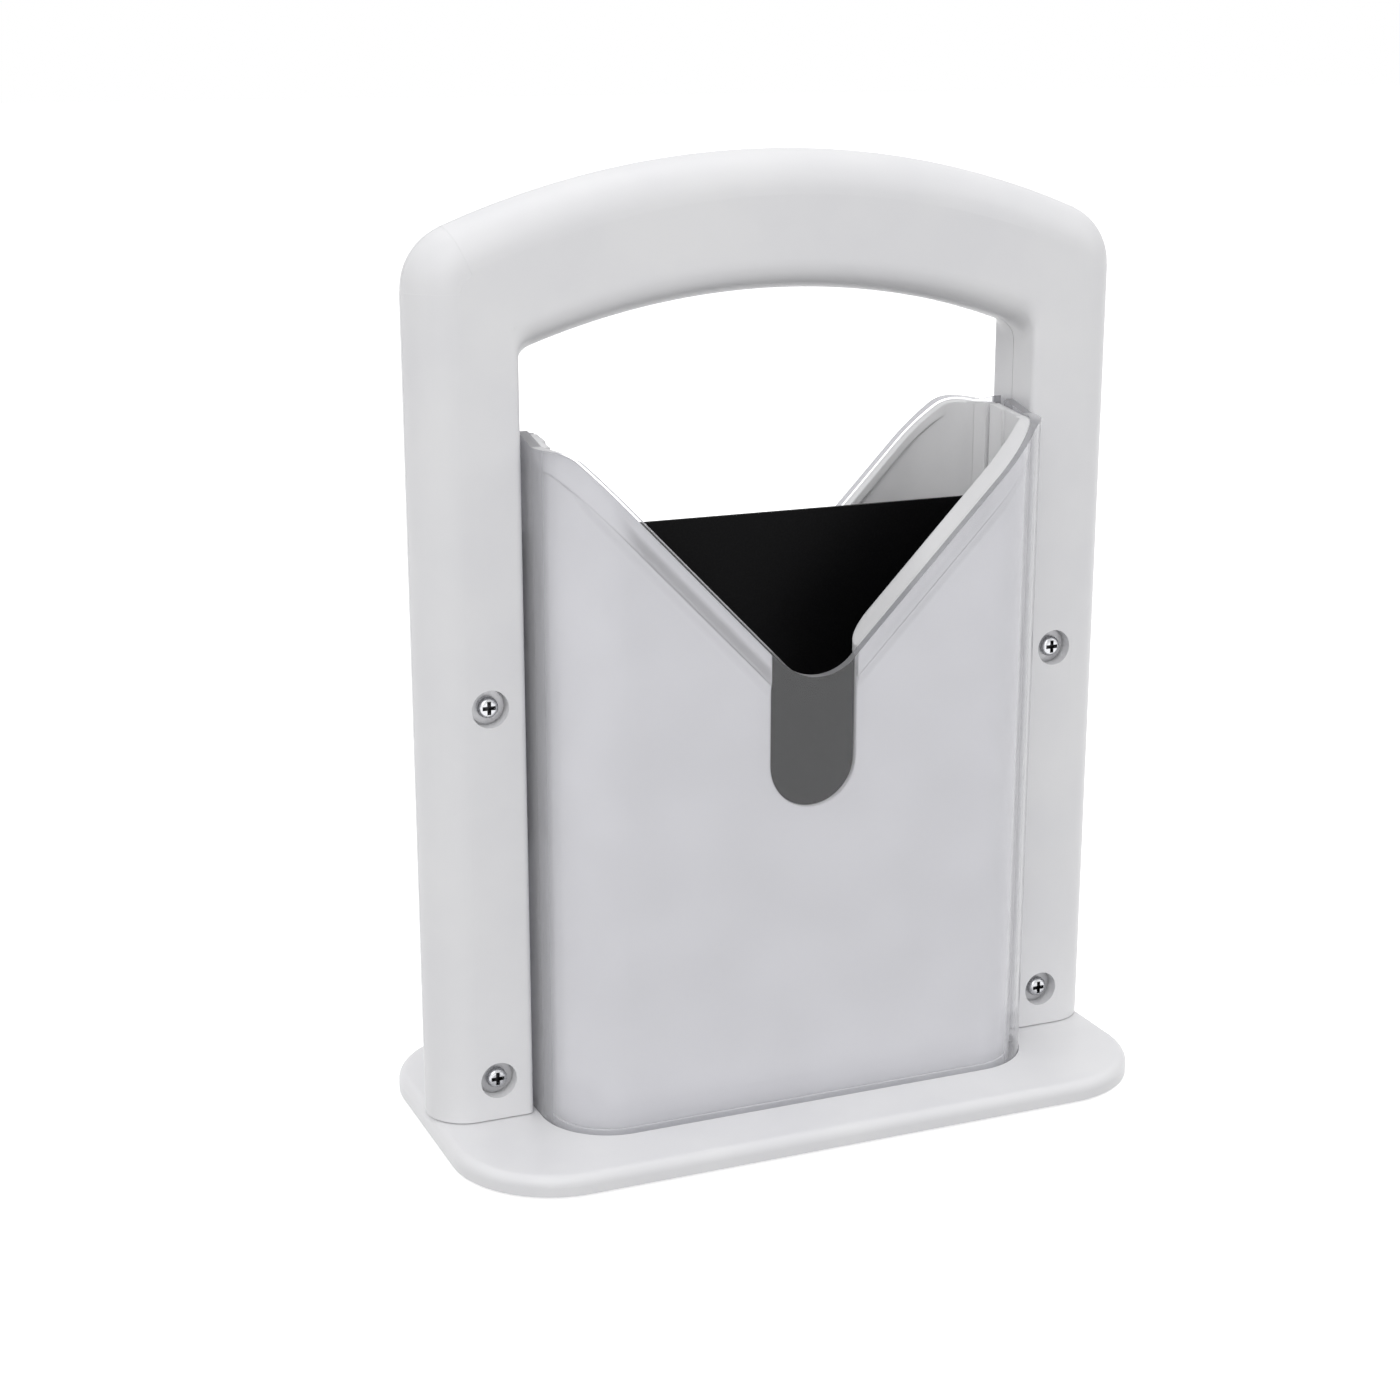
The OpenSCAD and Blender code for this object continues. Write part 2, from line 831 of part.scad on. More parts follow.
module base_plate() {
    groove_w = rail_gap + 0.6;
    color(white)
        difference() {
            translate([0, 0, foot_stand])
                base_blank();
            shield_grooves();
            translate([-edge_x - 1, -groove_w / 2, base_top - groove_depth])
                cube([2 * edge_x + 2, groove_w, groove_depth + 1]);
            for (sx = [-1, 1], sy = [-1, 1]) {
                translate([sx * wall_screw_x, sy * wall_screw_y, 0]) {
                    cylinder(d = screw_pass_d, h = far);
                    cylinder(d = head_d + 1, h = foot_stand + wall_head_room);
                }
                translate([sx * (base_len / 2 - foot_inset_x), sy * (base_depth / 2 - foot_inset_y), 0])
                    cylinder(d = foot_d + 2 * hole_gap, h = foot_stand + foot_recess);
            }
        }
}

// Rubber foot: sx is -1 for left and 1 for right, sy is -1 for front and 1 for rear
module foot(sx, sy) {
    x = sx * (base_len / 2 - foot_inset_x);
    y = sy * (base_depth / 2 - foot_inset_y);
    color(rubber)
        translate([x, y, 0])
            cylinder(d = foot_d, h = foot_stand + foot_recess);
}

base_plate();
foot(-1, -1);  // foot_front_left
foot(1, -1);  // foot_front_right
foot(-1, 1);  // foot_rear_left
foot(1, 1);  // foot_rear_right
front_shield();
rear_shield();
front_liner();
rear_liner();
front_wall_screws();
rear_wall_screws();
handle_front_shell();
handle_rear_shell();
blade();
handle_screws();
handle_washers();
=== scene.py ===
"""Looks for the bagel guillotine slicer: white mouldings, clear shields and a coated blade."""

import math

import bmesh
import bpy
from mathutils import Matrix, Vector


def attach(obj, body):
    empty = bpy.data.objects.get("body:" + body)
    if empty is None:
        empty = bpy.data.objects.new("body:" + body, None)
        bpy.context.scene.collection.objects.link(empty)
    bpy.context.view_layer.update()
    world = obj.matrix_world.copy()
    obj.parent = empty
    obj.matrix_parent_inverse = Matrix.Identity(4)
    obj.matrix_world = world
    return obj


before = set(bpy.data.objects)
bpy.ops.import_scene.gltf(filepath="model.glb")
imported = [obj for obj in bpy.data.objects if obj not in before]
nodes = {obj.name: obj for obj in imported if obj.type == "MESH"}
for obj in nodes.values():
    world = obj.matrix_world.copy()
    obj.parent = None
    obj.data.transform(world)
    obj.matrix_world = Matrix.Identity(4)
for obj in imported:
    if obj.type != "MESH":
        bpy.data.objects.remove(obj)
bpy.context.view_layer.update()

MM = 0.001


# Colours and nodes

def hex_colour(text):
    """Linear colour of an sRGB hex value such as "e6e6e8"."""
    channels = [int(text[i:i + 2], 16) / 255 for i in (0, 2, 4)]
    linear = [c / 12.92 if c <= 0.04045 else ((c + 0.055) / 1.055) ** 2.4 for c in channels]
    return (*linear, 1.0)


def add_node(tree, kind, inputs=None, stops=(), **settings):
    """Adds a node of that kind, with its settings and links.

    inputs is a list of values, or a dict of them by socket. A value is plain, a node whose first
    output is linked, or a (node, output) pair. stops are a colour ramp's two (position, colour)."""
    node = tree.nodes.new("ShaderNode" + kind)
    for name, value in settings.items():
        setattr(node, name, value)
    if stops:
        for element, (position, colour) in zip(node.color_ramp.elements, stops):
            element.position = position
            element.color = hex_colour(colour)
    for socket, value in inputs.items() if isinstance(inputs, dict) else enumerate(inputs or ()):
        if isinstance(value, bpy.types.Node):
            value = (value, 0)
        if isinstance(value, tuple) and isinstance(value[0], bpy.types.Node):
            tree.links.new(value[0].outputs[value[1]], node.inputs[socket])
        else:
            node.inputs[socket].default_value = value
    return node


def new_material(name):
    """An empty material and its node tree."""
    material = bpy.data.materials.new(name)
    material.use_nodes = True
    material.node_tree.nodes.clear()
    return material, material.node_tree


# Sizes of the cradle, in millimetres, as the CAD has them
BASE_TOP = 6.0
CORNER_X, CORNER_Y = 50.0, 13.0     # axis of an upright corner
LINER_R = 15.25                     # outside radius of a liner's upright corner
NOTCH_ANGLE = math.radians(46.0)
NOTCH_H = 113.5
NOTCH_R = 13
FLANK_X = NOTCH_R * math.sin(NOTCH_ANGLE)     # where the round bottom runs into a flank
FLANK_Z = BASE_TOP + NOTCH_H + NOTCH_R * (1 - math.cos(NOTCH_ANGLE))
BORDER_EDGE = 5.9                   # from the notch to the foot of a liner's raised border
BORDER_STEP = 0.6

# Sizes of the handle
LEG_X = 69.5                        # inner side of a leg
HALF_DEPTH = 10.6
LEG_EDGE_R = 1.5
GRIP_EDGE_R = 7.5
ARCH_R = 230
GRIP_H = 33.5
HANDLE_H = 239.7
ARCH_Z = BASE_TOP + HANDLE_H - ARCH_R
GRIP_R = ARCH_R - GRIP_H            # radius of the underside of the grip
SEAM_GAP = 0.1

# Sizes of the blade and the handle screws
EDGE_ANGLE = math.radians(9.0)
EDGE_Z = BASE_TOP - 1.2
BEVEL_H = 6.0
SCREW_X = 78.8
SCREW_Z = (16.8, 114.4)
HEAD_FACE_Y = -9.6
RECESS_R = 1.7                      # the cross is sunk within this radius
CROSS_SHADE_FROM = 0.12                 # and is painted dark, as shade, from this depth on

# Soft step in a liner's wall below its raised border
SOFT_STEP = 2.9
SOFT_STEP_FROM, SOFT_STEP_TO = 2.3, 6.3       # measured from the flank
SOFT_STEP_WALL_Y = 27.0                       # only the outside of a liner is beyond this
SOFT_STEP_FADE_X = (44, 54)                   # it dies out before the upright corner
SOFT_STEP_TURN_X = 10                         # to each side of the middle, where it weakens
SOFT_STEP_RIGHT = 0.2                         # share of its depth on the right flank

# Clear shields
CUT_EDGE_SLOPE = 0.3                # faces that look up or down more than this are cut edges
CUT_EDGE_Y = 3.2                    # and so are the faces this near to the blade
CUT_EDGE_HAZE = 0.3
FACE_HAZE, SLANT_HAZE = 0.026, 0.85
FACE_MIRROR, SLANT_MIRROR = 0.022, 0.55
SLANT_DEPTH = 0.4                   # how far a slanting face takes on the tint of an edge

# Widths of the patterns in the surfaces, in millimetres
SPARK_GRAIN = 0.35                  # finer on the real mould, and drawn coarser so that it shows
ABS_FLOW, PP_FLOW, ACRYLIC_FLOW = 30, 22, 25  # slow changes of gloss across a moulding
COATING_SPECK, COATING_CLOUD = 0.5, 40        # the speck too is drawn coarser, so that it shows
GRINDING_MARK, GRINDING_SQUEEZE = 0.4, 0.06   # marks run up the bevel: squeezed that much in Z
ZINC_CLOUD = 1.2
WASHER_GRAIN = 0.8
RUBBER_GRAIN = 0.6


# Materials

def moulded_abs():
    """ABS, injection moulded with a spark-eroded texture: white, satin, broad soft highlights."""
    material, tree = new_material("abs_moulded_white")
    coords = (add_node(tree, "TexCoord"), "Object")
    grain = add_node(tree, "TexNoise", {
        "Vector": coords, "Scale": 1 / (SPARK_GRAIN * MM), "Detail": 2.0})
    flow = add_node(tree, "TexNoise", {
        "Vector": coords, "Scale": 1 / (ABS_FLOW * MM), "Detail": 3.0})
    tint = add_node(tree, "ValToRGB", [flow], [(0.35, "e6e6e8"), (0.65, "ebebec")])
    gloss = add_node(tree, "MapRange", {
        "Value": flow, "From Min": 0.3, "From Max": 0.7, "To Min": 0.33, "To Max": 0.39})
    bump = add_node(tree, "Bump", {"Height": grain, "Strength": 0.12, "Distance": 0.02 * MM})
    shader = add_node(tree, "BsdfPrincipled", {
        "Base Color": tint, "Roughness": gloss, "IOR": 1.52, "Normal": bump})
    add_node(tree, "OutputMaterial", {"Surface": shader})
    return material


def soft_step_height(tree, coords):
    """1 on the border of a liner's outside and 0 on the wall below it, with a slope between."""
    place = add_node(tree, "SeparateXYZ", [coords])
    away = add_node(tree, "Math", [(place, "X")], operation="ABSOLUTE")
    beside = add_node(tree, "Math", [away, FLANK_X * MM], operation="SUBTRACT")
    along = add_node(tree, "Math", [beside, math.sin(NOTCH_ANGLE)], operation="MULTIPLY")
    above = add_node(tree, "Math", [(place, "Z"), FLANK_Z * MM], operation="SUBTRACT")
    up = add_node(tree, "Math", [above, math.cos(NOTCH_ANGLE)], operation="MULTIPLY")
    below_flank = add_node(tree, "Math", [along, up], operation="SUBTRACT")
    slope = add_node(tree, "MapRange", {
        "Value": below_flank, "From Min": SOFT_STEP_FROM * MM, "From Max": SOFT_STEP_TO * MM,
        "To Min": 1.0, "To Max": 0.0}, interpolation_type="SMOOTHSTEP")
    depth_y = add_node(tree, "Math", [(place, "Y")], operation="ABSOLUTE")
    outside = add_node(tree, "Math", [depth_y, SOFT_STEP_WALL_Y * MM], operation="GREATER_THAN")
    hand = add_node(tree, "MapRange", {
        "Value": (place, "X"),
        "From Min": -SOFT_STEP_TURN_X * MM, "From Max": SOFT_STEP_TURN_X * MM,
        "To Min": 1.0, "To Max": SOFT_STEP_RIGHT}, interpolation_type="SMOOTHSTEP")
    fade = add_node(tree, "MapRange", {
        "Value": away,
        "From Min": SOFT_STEP_FADE_X[0] * MM, "From Max": SOFT_STEP_FADE_X[1] * MM,
        "To Min": 1.0, "To Max": 0.0}, interpolation_type="SMOOTHSTEP")
    there = add_node(tree, "Math", [outside, hand], operation="MULTIPLY")
    share = add_node(tree, "Math", [there, fade], operation="MULTIPLY")
    return add_node(tree, "Math", [slope, share], operation="MULTIPLY")


def moulded_polypropylene(name, soft_edges):
    """Polypropylene, moulded thin: white, a little milky, less glossy than the handle.

    soft_edges rounds the edges to the eye. The strips at the border go without."""
    material, tree = new_material(name)
    coords = (add_node(tree, "TexCoord"), "Object")
    flow = add_node(tree, "TexNoise", {
        "Vector": coords, "Scale": 1 / (PP_FLOW * MM), "Detail": 3.0})
    tint = add_node(tree, "ValToRGB", [flow], [(0.35, "e6e6e7"), (0.65, "ebebec")])
    if soft_edges:
        normal = add_node(tree, "Bevel", {"Radius": 0.8 * MM}, samples=6)
    else:
        normal = add_node(tree, "NewGeometry")
    step = add_node(tree, "Bump", {
        "Height": soft_step_height(tree, coords), "Strength": 1.0,
        "Distance": SOFT_STEP * MM, "Normal": (normal, "Normal")})
    bump = add_node(tree, "Bump", {
        "Height": flow, "Strength": 0.05, "Distance": 0.1 * MM, "Normal": step})
    shader = add_node(tree, "BsdfPrincipled", {
        "Base Color": tint, "Roughness": 0.42, "IOR": 1.49, "Normal": bump})
    add_node(tree, "OutputMaterial", {"Surface": shader})
    return material


def clear_acrylic():
    """Acrylic, moulded thin: clear with a faint haze, glossy at a slant, milky on its cut edges.

    It is a thin pane: light passes straight through and isn't bent."""
    material, tree = new_material("acrylic_clear")
    coords = (add_node(tree, "TexCoord"), "Object")
    geometry = add_node(tree, "NewGeometry")
    facing = add_node(tree, "SeparateXYZ", [(geometry, "True Normal")])
    place = add_node(tree, "SeparateXYZ", [coords])
    tilt = add_node(tree, "Math", [(facing, "Z")], operation="ABSOLUTE")
    upper = add_node(tree, "Math", [tilt, CUT_EDGE_SLOPE], operation="GREATER_THAN")
    off_blade = add_node(tree, "Math", [(place, "Y")], operation="ABSOLUTE")
    upright = add_node(tree, "Math", [off_blade, CUT_EDGE_Y * MM], operation="LESS_THAN")
    edge = add_node(tree, "Math", [upper, upright], operation="MAXIMUM")
    flow = add_node(tree, "TexNoise", {
        "Vector": coords, "Scale": 1 / (ACRYLIC_FLOW * MM), "Detail": 2.0})
    bump = add_node(tree, "Bump", {"Height": flow, "Strength": 0.04, "Distance": 0.1 * MM})
    slant = (add_node(tree, "LayerWeight", {"Blend": 0.5, "Normal": bump}), "Facing")

    cut = add_node(tree, "Math", [edge, CUT_EDGE_HAZE], operation="MULTIPLY")
    some_slant = add_node(tree, "Math", [slant, 2.5], operation="POWER")
    veil = add_node(tree, "MapRange", {
        "Value": some_slant, "To Min": FACE_HAZE, "To Max": SLANT_HAZE})
    haze = add_node(tree, "Math", [cut, veil], operation="MAXIMUM")
    steep_slant = add_node(tree, "Math", [slant, 5.0], operation="POWER")
    mirror = add_node(tree, "MapRange", {
        "Value": steep_slant, "To Min": FACE_MIRROR, "To Max": SLANT_MIRROR})
    steepest_slant = add_node(tree, "Math", [slant, 6.0], operation="POWER")
    along = add_node(tree, "Math", [steepest_slant, SLANT_DEPTH], operation="MULTIPLY")
    depth = add_node(tree, "Math", [edge, along], operation="MAXIMUM")
    passed = add_node(tree, "ValToRGB", [depth], [(0.0, "fcfcfd"), (1.0, "a4a4a8")])

    clear = add_node(tree, "BsdfTransparent", {"Color": passed})
    lamp_light = add_node(tree, "BsdfTransparent", {"Color": hex_colour("fcfcfd")})
    milky = add_node(tree, "BsdfPrincipled", {
        "Base Color": hex_colour("e8e8ea"), "Roughness": 0.3, "IOR": 1.49})
    gloss = add_node(tree, "BsdfPrincipled", {
        "Base Color": hex_colour("ffffff"), "Metallic": 1.0, "Roughness": 0.06, "Normal": bump})
    pane = add_node(tree, "MixShader", [haze, clear, milky])
    body = add_node(tree, "MixShader", [mirror, pane, gloss])
    path = add_node(tree, "LightPath")
    mix = add_node(tree, "MixShader", [(path, "Is Shadow Ray"), body, lamp_light])
    add_node(tree, "OutputMaterial", {"Surface": mix})
    return material


def coated_blade():
    """Steel with a sprayed non-stick coating: near black, satin, speckled, ground bright below."""
    material, tree = new_material("nonstick_coated_steel")
    coords = (add_node(tree, "TexCoord"), "Object")
    speck = add_node(tree, "TexNoise", {
        "Vector": coords, "Scale": 1 / (COATING_SPECK * MM), "Detail": 3.0})
    cloud = add_node(tree, "TexNoise", {
        "Vector": coords, "Scale": 1 / (COATING_CLOUD * MM), "Detail": 3.0})
    tint = add_node(tree, "ValToRGB", [speck], [(0.4, "060607"), (0.75, "101011")])
    gloss = add_node(tree, "MapRange", {"Value": cloud, "To Min": 0.42, "To Max": 0.5})
    bump = add_node(tree, "Bump", {"Height": speck, "Strength": 0.15, "Distance": 0.02 * MM})
    coating = add_node(tree, "BsdfPrincipled", {
        "Base Color": tint, "Roughness": gloss, "IOR": 1.35, "Specular IOR Level": 0.12,
        "Normal": bump})

    # The bare bevel: all that is within its height of the sloping cutting edge
    place = add_node(tree, "SeparateXYZ", [coords])
    away = add_node(tree, "Math", [(place, "X")], operation="ABSOLUTE")
    slope = add_node(tree, "Math", [away, math.sin(EDGE_ANGLE)], operation="MULTIPLY")
    above = add_node(tree, "Math", [(place, "Z"), EDGE_Z * MM], operation="SUBTRACT")
    rise = add_node(tree, "Math", [above, math.cos(EDGE_ANGLE)], operation="MULTIPLY")
    above_edge = add_node(tree, "Math", [rise, slope], operation="SUBTRACT")
    ground = add_node(tree, "Math", [above_edge, BEVEL_H * MM], operation="LESS_THAN")
    squeezed = add_node(tree, "Mapping", {
        "Vector": coords, "Scale": (1.0, 1.0, GRINDING_SQUEEZE)})
    marks = add_node(tree, "TexNoise", {
        "Vector": squeezed, "Scale": 1 / (GRINDING_MARK * MM), "Detail": 2.0})
    bare_gloss = add_node(tree, "MapRange", {"Value": marks, "To Min": 0.2, "To Max": 0.45})
    bare = add_node(tree, "BsdfPrincipled", {
        "Base Color": hex_colour("c4c5c8"), "Metallic": 1.0, "Roughness": bare_gloss})
    both = add_node(tree, "MixShader", [ground, coating, bare])
    add_node(tree, "OutputMaterial", {"Surface": both})
    return material


def plated_steel():
    """Mild steel with bright zinc plating: grey, slightly cloudy, with painted shade down in the
    cross.
    """
    material, tree = new_material("zinc_plated_steel")
    coords = (add_node(tree, "TexCoord"), "Object")
    cloud = add_node(tree, "TexNoise", {
        "Vector": coords, "Scale": 1 / (ZINC_CLOUD * MM), "Detail": 3.0})
    gloss = add_node(tree, "MapRange", {"Value": cloud, "To Min": 0.2, "To Max": 0.34})

    # Painted shade in the sunk cross: near the axis of a handle screw, and behind the face of its
    # head
    place = add_node(tree, "SeparateXYZ", [coords])
    away = add_node(tree, "Math", [(place, "X")], operation="ABSOLUTE")
    across = add_node(tree, "Math", [away, SCREW_X * MM], operation="SUBTRACT")
    heights = []
    for z in SCREW_Z:
        above = add_node(tree, "Math", [(place, "Z"), z * MM], operation="SUBTRACT")
        heights.append(add_node(tree, "Math", [above], operation="ABSOLUTE"))
    up = add_node(tree, "Math", heights, operation="MINIMUM")
    across_squared = add_node(tree, "Math", [across, across], operation="MULTIPLY")
    up_squared = add_node(tree, "Math", [up, up], operation="MULTIPLY")
    both_squared = add_node(tree, "Math", [across_squared, up_squared], operation="ADD")
    off_axis = add_node(tree, "Math", [both_squared], operation="SQRT")
    within = add_node(tree, "Math", [off_axis, RECESS_R * MM], operation="LESS_THAN")
    sunk = add_node(tree, "Math", [
        (place, "Y"), (HEAD_FACE_Y + CROSS_SHADE_FROM) * MM], operation="GREATER_THAN")
    painted_cross_shade = add_node(tree, "Math", [within, sunk], operation="MULTIPLY")
    # Painted shade: the cross turns dark grey
    tint = add_node(tree, "ValToRGB", [painted_cross_shade], [(0.0, "c8c9cc"), (1.0, "2c2c2e")])
    shader = add_node(tree, "BsdfPrincipled", {
        "Base Color": tint, "Metallic": 1.0, "Roughness": gloss})
    add_node(tree, "OutputMaterial", {"Surface": shader})
    return material


def washer_metal():
    """Stamped steel washer, dull: grey, with the fine grain of rolled sheet."""
    material, tree = new_material("washer_steel")
    grain = add_node(tree, "TexNoise", {
        "Vector": (add_node(tree, "TexCoord"), "Object"),
        "Scale": 1 / (WASHER_GRAIN * MM), "Detail": 3.0})
    gloss = add_node(tree, "MapRange", {"Value": grain, "To Min": 0.42, "To Max": 0.58})
    shader = add_node(tree, "BsdfPrincipled", {
        "Base Color": hex_colour("b6b6b8"), "Metallic": 1.0, "Roughness": gloss})
    add_node(tree, "OutputMaterial", {"Surface": shader})
    return material


def foot_rubber():
    """Moulded rubber: dark grey and dull, with a fine grain."""
    material, tree = new_material("rubber_moulded_grey")
    grain = add_node(tree, "TexNoise", {
        "Vector": (add_node(tree, "TexCoord"), "Object"),
        "Scale": 1 / (RUBBER_GRAIN * MM), "Detail": 2.0})
    tint = add_node(tree, "ValToRGB", [grain], [(0.4, "2e2e30"), (0.7, "39393b")])
    bump = add_node(tree, "Bump", {"Height": grain, "Strength": 0.3, "Distance": 0.05 * MM})
    shader = add_node(tree, "BsdfPrincipled", {
        "Base Color": tint, "Roughness": 0.8, "Normal": bump})
    add_node(tree, "OutputMaterial", {"Surface": shader})
    return material


white_abs = moulded_abs()
white_pp = moulded_polypropylene("polypropylene_moulded_white", True)
white_pp_strip = moulded_polypropylene("polypropylene_moulded_white_strip", False)
acrylic = clear_acrylic()
blade_steel = coated_blade()
screw_steel = plated_steel()
washer_steel = washer_metal()
rubber = foot_rubber()

FINISH = {
    "base_plate": white_abs,
    "handle_front_shell": white_abs,
    "handle_rear_shell": white_abs,
    "front_liner": white_pp,
    "rear_liner": white_pp,
    "front_shield": acrylic,
    "rear_shield": acrylic,
    "blade": blade_steel,
    "handle_screws": screw_steel,
    "front_wall_screws": screw_steel,
    "rear_wall_screws": screw_steel,
    "handle_washers": washer_steel,
    "foot_front_left": rubber,
    "foot_front_right": rubber,
    "foot_rear_left": rubber,
    "foot_rear_right": rubber,
}
for node_name, material in FINISH.items():
    slots = nodes[node_name].data.materials
    slots.clear()
    slots.append(material)


# Moulded forms that lie on the CAD solids, in millimetres

# Strips at the foot of a liner's raised border
STRIP_WIDTH = 2.6
STRIP_FROM_X, STRIP_TO_X = 12.0, 64.0
STRIP_STATIONS, STRIP_STEPS = 40, 8
STRIP_FADE = 5                      # length over which its outer end dies out
STRIP_OVERLAP = 0.1                 # how far it starts above the border's foot
STRIP_SHORT = 0.02                  # keeps its top just under the border's face
STRIP_PROUD = 0.004                 # keeps its lower edge just off the wall
STRIP_END_SUNK = 0.05
STRIP_BACK = 0.3                    # how deep its back lies in the wall

# Blends in the inner corners of the handle
CORNER_R = 6.5
CORNER_BACK = 0.6                   # how deep a blend's back lies in the handle
CORNER_STEPS = 16
FLAT_STEP, FLAT_STEPS = 0.5, 18     # rows from the seam to the rounded edge of the leg
EDGE_STEP_DEGREES = 8               # and rows round that edge

SMOOTH_UP_TO = math.radians(40)     # flatter edges than this are shaded smooth


def ease(t):
    """Goes from 0 to 1 with a soft start and end."""
    return t * t * (3 - 2 * t)


def mesh_piece(name, sheets, material, body):
    """One object of closed solids. A sheet is its outer and its inner grid of points, in mm."""
    points, faces = [], []
    for outer, inner in sheets:
        rows, columns = len(outer), len(outer[0])
        start = len(points)
        points += [Vector(p) * MM for row in outer for p in row]
        points += [Vector(p) * MM for row in inner for p in row]

        def at(row, column, side=0):
            return start + side * rows * columns + row * columns + column

        for r in range(rows - 1):
            for c in range(columns - 1):
                faces.append((at(r, c), at(r, c + 1), at(r + 1, c + 1), at(r + 1, c)))
                faces.append((at(r, c, 1), at(r + 1, c, 1), at(r + 1, c + 1, 1), at(r, c + 1, 1)))
        last = columns - 1
        for r in range(rows - 1):
            faces.append((at(r, 0), at(r + 1, 0), at(r + 1, 0, 1), at(r, 0, 1)))
            faces.append((at(r, last), at(r, last, 1), at(r + 1, last, 1), at(r + 1, last)))
        last = rows - 1
        for c in range(columns - 1):
            faces.append((at(0, c), at(0, c, 1), at(0, c + 1, 1), at(0, c + 1)))
            faces.append((at(last, c), at(last, c + 1), at(last, c + 1, 1), at(last, c, 1)))
    mesh = bpy.data.meshes.new(name)
    mesh.from_pydata(points, [], faces)
    mesh.validate()
    shape = bmesh.new()
    shape.from_mesh(mesh)
    bmesh.ops.recalc_face_normals(shape, faces=shape.faces)
    for edge in shape.edges:
        edge.smooth = len(edge.link_faces) == 2 and edge.calc_face_angle(math.pi) < SMOOTH_UP_TO
    for face in shape.faces:
        face.smooth = True
    shape.to_mesh(mesh)
    shape.free()
    piece = bpy.data.objects.new(name, mesh)
    bpy.context.scene.collection.objects.link(piece)
    mesh.materials.append(material)
    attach(piece, body)


def wall_point(x, z, out):
    """A point on the wall of a front liner, moved out from it. It follows the upright corner."""
    radius = LINER_R - BORDER_STEP
    turn = max(0.0, x - CORNER_X) / radius
    if x <= CORNER_X:
        return (x, -CORNER_Y - radius - out, z)
    reach = radius + out
    return (CORNER_X + reach * math.sin(turn), -CORNER_Y - reach * math.cos(turn), z)


def joggle_strips(name, front):
    """Sloping foot of a liner's raised border, where the wall steps in below it."""
    sheets = []
    for side in (-1, 1):
        outer, inner = [], []
        for i in range(STRIP_STATIONS + 1):
            along = STRIP_FROM_X + (STRIP_TO_X - STRIP_FROM_X) * i / STRIP_STATIONS
            edge_z = (FLANK_Z + (along - FLANK_X) * math.tan(NOTCH_ANGLE)
                      - BORDER_EDGE / math.cos(NOTCH_ANGLE))
            fade = ease(min(1.0, max(0.0, (STRIP_TO_X - along) / STRIP_FADE)))
            top = (BORDER_STEP - STRIP_SHORT) * fade
            rows = ([], [])
            for k in range(STRIP_STEPS + 1):
                t = k / STRIP_STEPS
                rise = top * (1 - ease(t)) - STRIP_END_SUNK * (1 - fade)
                z = edge_z + STRIP_OVERLAP - t * STRIP_WIDTH / math.cos(NOTCH_ANGLE)
                for row, out in zip(rows, (rise + STRIP_PROUD, -STRIP_BACK)):
                    x, y, z_out = wall_point(along, z, out)
                    row.append((side * x, y if front else -y, z_out))
            outer.append(rows[0])
            inner.append(rows[1])
        sheets.append((outer, inner))
    mesh_piece(name, sheets, white_pp_strip, "cradle")


def edge_fall(radius, y, flat):
    """How far a rounded edge has fallen back at depth y. The face is flat up to flat."""
    if y <= flat:
        return 0.0
    return radius - math.sqrt(max(0.0, radius ** 2 - (y - flat) ** 2))


def corner_fillet(name, side, front):
    """Soft inside corner of the handle, where a leg runs into the arched grip."""
    leg_flat = HALF_DEPTH - LEG_EDGE_R
    grip_flat = HALF_DEPTH - GRIP_EDGE_R
    depths = [SEAM_GAP] + [FLAT_STEP * i for i in range(1, FLAT_STEPS + 1)]
    depths += [leg_flat + LEG_EDGE_R * math.sin(math.radians(a))
               for a in range(EDGE_STEP_DEGREES, 89, EDGE_STEP_DEGREES)]
    outer, inner = [], []
    for y in depths:
        cx = LEG_X + edge_fall(LEG_EDGE_R, y, leg_flat) - CORNER_R
        arm = GRIP_R + edge_fall(GRIP_EDGE_R, y, grip_flat) - CORNER_R
        cz = ARCH_Z + math.sqrt(arm ** 2 - cx ** 2)
        end = math.acos(cx / arm)
        rows = ([], [])
        for k in range(CORNER_STEPS + 1):
            angle = end * k / CORNER_STEPS
            for row, r in zip(rows, (CORNER_R, CORNER_R + CORNER_BACK)):
                row.append((side * (cx + r * math.cos(angle)), -y if front else y,
                            cz + r * math.sin(angle)))
        outer.append(rows[0])
        inner.append(rows[1])
    mesh_piece(name, [(outer, inner)], white_abs, "cutter")


for place, is_front in (("front", True), ("rear", False)):
    joggle_strips(place + "_liner_joggle", is_front)
    for hand, side in (("left", -1), ("right", 1)):
        corner_fillet(place + "_" + hand + "_corner_fillet", side, is_front)


# Stage: a white floor that runs on into a white background

FLOOR_HALF = 8.0                    # half its width, in metres
FLOOR_LIFT = 0.75                   # strength of the white that the eye sees in the floor
FLOOR_BOUNCE = "b4b4b4"             # what the floor throws back onto the slicer
WORLD_FILL = 0.64
WORLD_LOW, WORLD_HIGH = 0.65, 1.5   # shares of it at the bottom and the top of the dome


def seen_as_white(tree):
    """1 for rays by which the eye sees the background: straight, in gloss or through a shield."""
    path = add_node(tree, "LightPath")
    straight = add_node(tree, "Math", [
        (path, "Is Camera Ray"), (path, "Is Transmission Ray")], operation="MAXIMUM")
    direct = add_node(tree, "Math", [straight, (path, "Is Glossy Ray")], operation="MAXIMUM")
    undiffused = add_node(tree, "Math", [(path, "Diffuse Depth"), 0.5], operation="LESS_THAN")
    return add_node(tree, "Math", [direct, undiffused], operation="MULTIPLY")


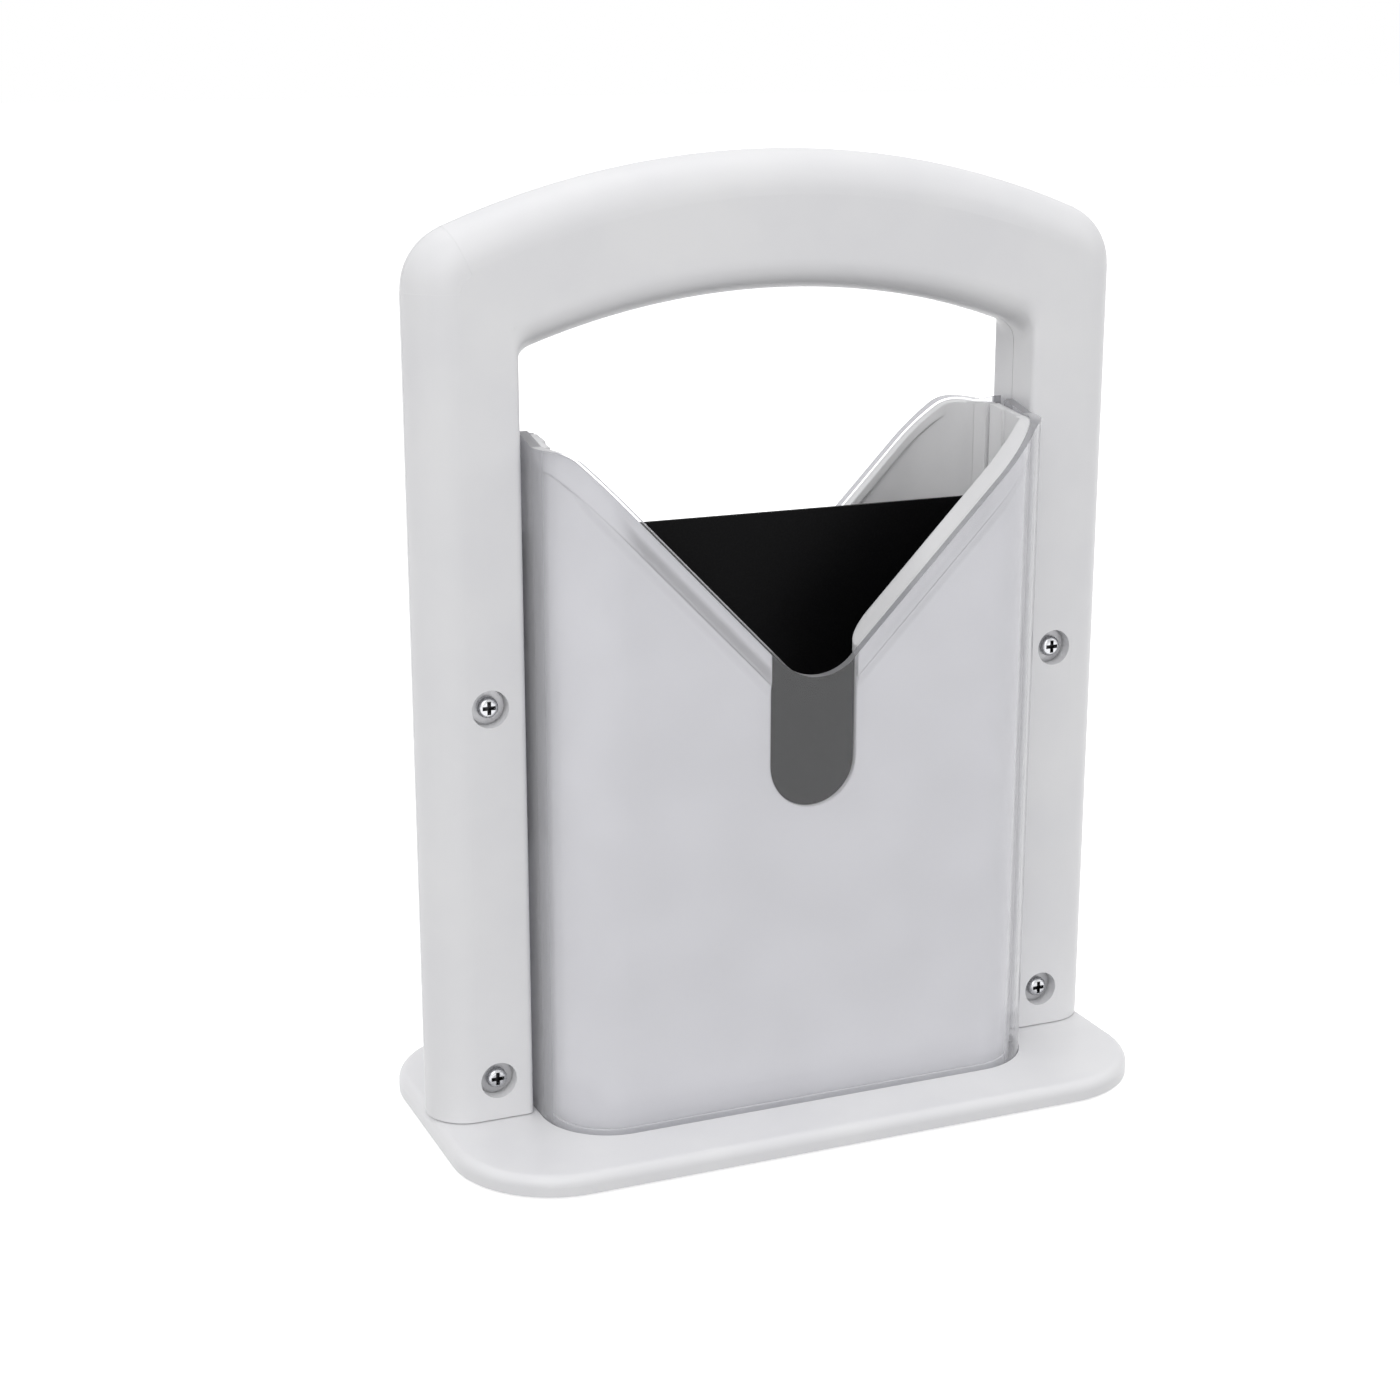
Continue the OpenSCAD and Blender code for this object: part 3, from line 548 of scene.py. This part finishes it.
def studio_floor():
    """Pale matt floor, which keeps the slicer's shadow."""
    material, tree = new_material("studio_floor")
    path = add_node(tree, "LightPath")
    bounce = add_node(tree, "ValToRGB", [(path, "Is Diffuse Ray")], [
        (0.0, "f2f2f2"), (1.0, FLOOR_BOUNCE)])
    matt = add_node(tree, "BsdfDiffuse", {"Color": bounce})
    lift = add_node(tree, "Emission", {"Strength": seen_as_white(tree)})
    none = add_node(tree, "Emission", {"Strength": 0.0})
    glow = add_node(tree, "MixShader", [FLOOR_LIFT, none, lift])
    both = add_node(tree, "AddShader", [matt, glow])
    add_node(tree, "OutputMaterial", {"Surface": both})
    corners = [(x * FLOOR_HALF, y * FLOOR_HALF, 0) for x, y in ((-1, -1), (1, -1), (1, 1), (-1, 1))]
    mesh = bpy.data.meshes.new("floor")
    mesh.from_pydata(corners, [], [(0, 1, 2, 3)])
    floor = bpy.data.objects.new("floor", mesh)
    bpy.context.scene.collection.objects.link(floor)
    mesh.materials.append(material)


def studio_world():
    """Soft light from all round, brighter from above, that the eye sees as plain white."""
    world = bpy.data.worlds.new("studio")
    bpy.context.scene.world = world
    world.use_nodes = True
    tree = world.node_tree
    tree.nodes.clear()
    height = add_node(tree, "SeparateXYZ", [(add_node(tree, "TexCoord"), "Generated")])
    dome = add_node(tree, "MapRange", {
        "Value": (height, "Z"),
        "To Min": WORLD_LOW * WORLD_FILL, "To Max": WORLD_HIGH * WORLD_FILL})
    fill = add_node(tree, "Background", {"Color": hex_colour("fdfdfe"), "Strength": dome})
    white = add_node(tree, "Background", {"Color": hex_colour("ffffff"), "Strength": 1.0})
    mix = add_node(tree, "MixShader", [seen_as_white(tree), fill, white])
    add_node(tree, "OutputWorld", {"Surface": mix})


# Square area lamps: name, place and width in metres, and watts
LAMP_TARGET = Vector((0.0, 0.0, 0.1))
SOFTBOXES = [
    ("key_softbox", (-0.75, -1.05, 1.3), 1.0, 4.9),
    ("front_softbox", (-0.65, -1.45, 0.6), 0.8, 2.5),
    ("right_softbox", (1.2, -0.7, 0.8), 1.0, 2.0),
    ("left_softbox", (-1.4, -0.4, 0.7), 1.0, 1.2),
    ("top_softbox", (0.0, 0.3, 1.8), 1.2, 3.0),
]


def softbox(name, place, width, watts):
    """A lamp that looks at the middle of the slicer."""
    data = bpy.data.lights.new(name, "AREA")
    data.shape = "SQUARE"
    data.size = width
    data.energy = watts
    lamp = bpy.data.objects.new(name, data)
    lamp.location = place
    lamp.rotation_euler = (LAMP_TARGET - Vector(place)).to_track_quat("-Z", "Y").to_euler()
    bpy.context.scene.collection.objects.link(lamp)


# Camera, fitted to the photograph's outlines
CAMERA_PLACE = Vector((-255.9, -561.6, 276.5)) * MM
CAMERA_AZIMUTH = math.radians(-22.86)
CAMERA_PITCH = math.radians(15.48)
CAMERA_LENS = 63.42
CAMERA_SENSOR = 36.0
CAMERA_NEAR = 0.01


def photo_camera():
    data = bpy.data.cameras.new("photo_camera")
    data.lens = CAMERA_LENS
    data.sensor_width = CAMERA_SENSOR
    data.clip_start = CAMERA_NEAR
    camera = bpy.data.objects.new("photo_camera", data)
    camera.location = CAMERA_PLACE
    camera.rotation_euler = (math.pi / 2 - CAMERA_PITCH, 0.0, CAMERA_AZIMUTH)
    bpy.context.scene.collection.objects.link(camera)
    bpy.context.scene.camera = camera


studio_floor()
studio_world()
for lamp in SOFTBOXES:
    softbox(*lamp)
photo_camera()
bpy.context.scene.view_settings.view_transform = "Standard"
